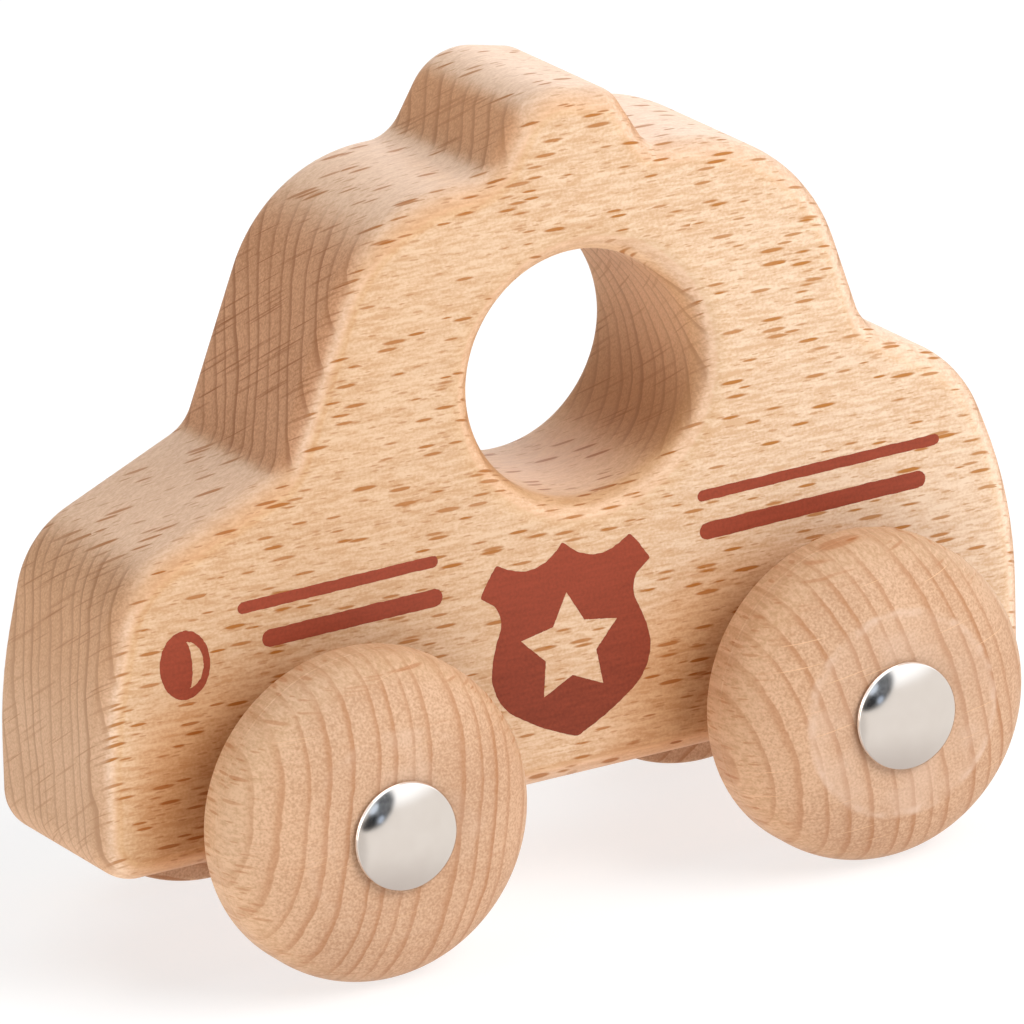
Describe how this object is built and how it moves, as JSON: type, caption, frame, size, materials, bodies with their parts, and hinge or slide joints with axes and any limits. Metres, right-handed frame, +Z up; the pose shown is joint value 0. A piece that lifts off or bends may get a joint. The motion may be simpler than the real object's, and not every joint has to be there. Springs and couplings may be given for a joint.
{
  "type": "wooden push-along toy police car",
  "caption": "Chunky beech push-along car with a rounded body block, roof light, round finger hole, turned wooden wheels on steel axles and domed metal axle caps.",
  "frame": {"origin": "on the ground under the middle of the body block", "axes": "+Z up, +X to the tail so that the nose points to -X, +Y to the car's right side"},
  "size_m": [0.1122, 0.063, 0.089],
  "materials": {
    "beech_body": "sanded beech under a thin matt oil, with brown ink print",
    "beech_wheel": "turned and sanded beech under a thin matt oil",
    "cap_plating": "bright nickel plate on pressed sheet",
    "axle_steel": "drawn rod",
    "spring_steel": "plain spring steel"
  },
  "bodies": {
    "car_body": {"body": "beech_body"},
    "front_axle_set": {"front_axle": "axle_steel", "front_left_cap": "cap_plating", "front_right_cap": "cap_plating", "front_left_retainer": "spring_steel", "front_right_retainer": "spring_steel"},
    "rear_axle_set": {"rear_axle": "axle_steel", "rear_left_cap": "cap_plating", "rear_right_cap": "cap_plating", "rear_left_retainer": "spring_steel", "rear_right_retainer": "spring_steel"},
    "front_left_wheel": {"front_left_wheel": "beech_wheel"},
    "front_right_wheel": {"front_right_wheel": "beech_wheel"},
    "rear_left_wheel": {"rear_left_wheel": "beech_wheel"},
    "rear_right_wheel": {"rear_right_wheel": "beech_wheel"}
  },
  "joints": [
    {"name": "front_axle_spin", "type": "hinge", "parent": "car_body", "child": "front_axle_set", "pos_m": [-0.02881, 0, 0.018], "axis": [0, 1, 0], "continuous": true},
    {"name": "rear_axle_spin", "type": "hinge", "parent": "car_body", "child": "rear_axle_set", "pos_m": [0.03139, 0, 0.018], "axis": [0, 1, 0], "continuous": true},
    {"name": "front_left_wheel_spin", "type": "hinge", "parent": "front_axle_set", "child": "front_left_wheel", "pos_m": [-0.02881, 0, 0.018], "axis": [0, 1, 0], "continuous": true},
    {"name": "front_right_wheel_spin", "type": "hinge", "parent": "front_axle_set", "child": "front_right_wheel", "pos_m": [-0.02881, 0, 0.018], "axis": [0, 1, 0], "continuous": true},
    {"name": "rear_left_wheel_spin", "type": "hinge", "parent": "rear_axle_set", "child": "rear_left_wheel", "pos_m": [0.03139, 0, 0.018], "axis": [0, 1, 0], "continuous": true},
    {"name": "rear_right_wheel_spin", "type": "hinge", "parent": "rear_axle_set", "child": "rear_right_wheel", "pos_m": [0.03139, 0, 0.018], "axis": [0, 1, 0], "continuous": true}
  ]
}
